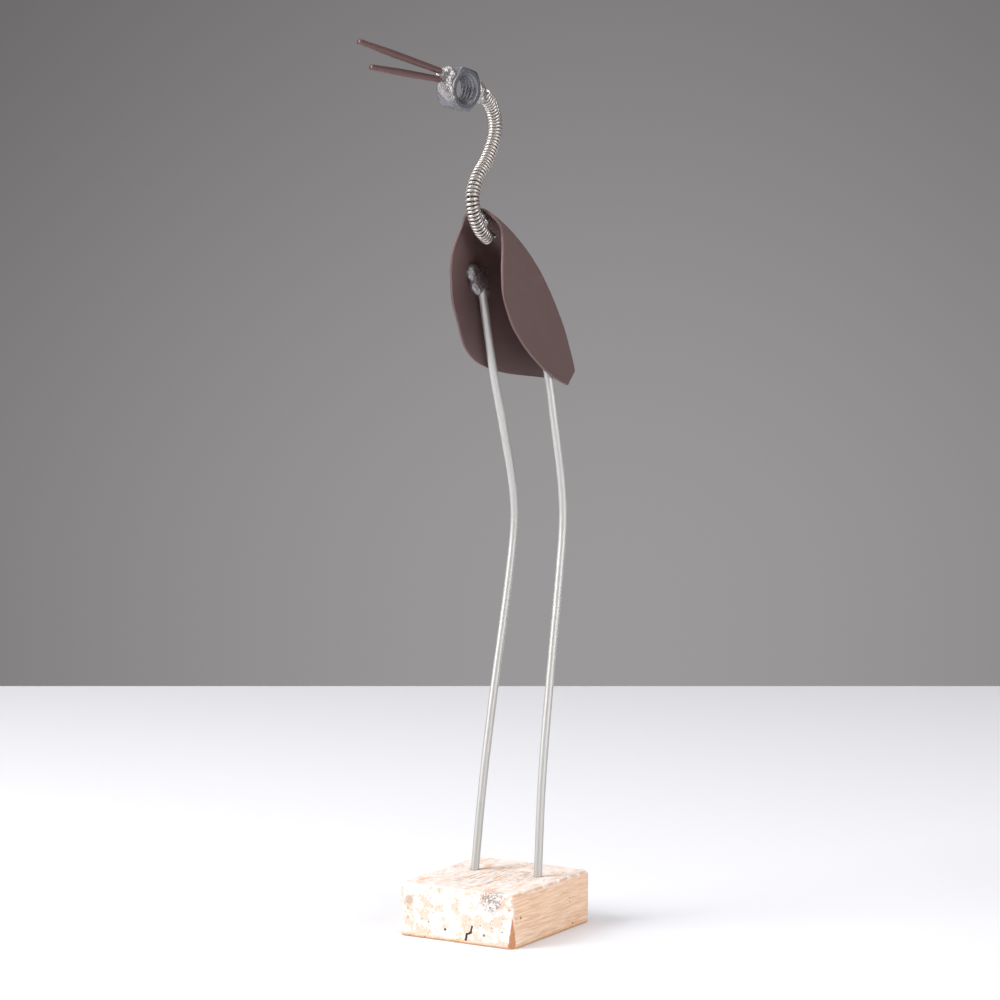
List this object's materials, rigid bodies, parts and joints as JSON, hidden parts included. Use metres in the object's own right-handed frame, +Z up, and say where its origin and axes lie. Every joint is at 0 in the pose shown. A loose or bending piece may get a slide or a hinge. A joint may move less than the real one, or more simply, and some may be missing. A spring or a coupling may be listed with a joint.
{
  "type": "crane statue",
  "caption": "Standing long-legged bird figure of scrap metal: folded sheet body, bent wire legs, coil spring neck, nut head and rod bill, set in a pale wooden block that stands on a table.",
  "frame": {"origin": "The centre of the wooden block's underside, on the table the block stands on.", "axes": "+Z up. The bird looks along -Y, so its head and bill are over -Y and its tail over +Y. +X is the bird's left. The block's sides lie along X and Y and its grain runs along Y."},
  "size_m": [0.0486, 0.1228, 0.3212],
  "materials": {
    "wood": "pale whitewashed wood, worn edges, grey-black streaks along the grain on top and warm tan grain on the sides",
    "galvanised_wire": "mottled galvanised wire with faint brown stains and small rust spots, sooty near the welds",
    "oxidised_sheet": "mauve-brown oxidised sheet steel with orange rust near the front edge, a bright worn edge and a black sooty inside",
    "spring_steel": "silvery spring wire with dark gaps, brown rust between the coils and dark weld runs",
    "dark_steel": "dark grey steel with a bright countersink, silver and blue-black weld over the front and a little orange rust",
    "browned_steel": "purple-brown oxidised rod with darker edges and bright cut tips"
  },
  "bodies": {
    "root": {"wooden_base": "wood", "right_leg": "galvanised_wire", "left_leg": "galvanised_wire", "body_sheet": "oxidised_sheet", "neck_spring": "spring_steel", "head_nut": "dark_steel", "upper_bill": "browned_steel", "lower_bill": "browned_steel"}
  },
  "joints": []
}
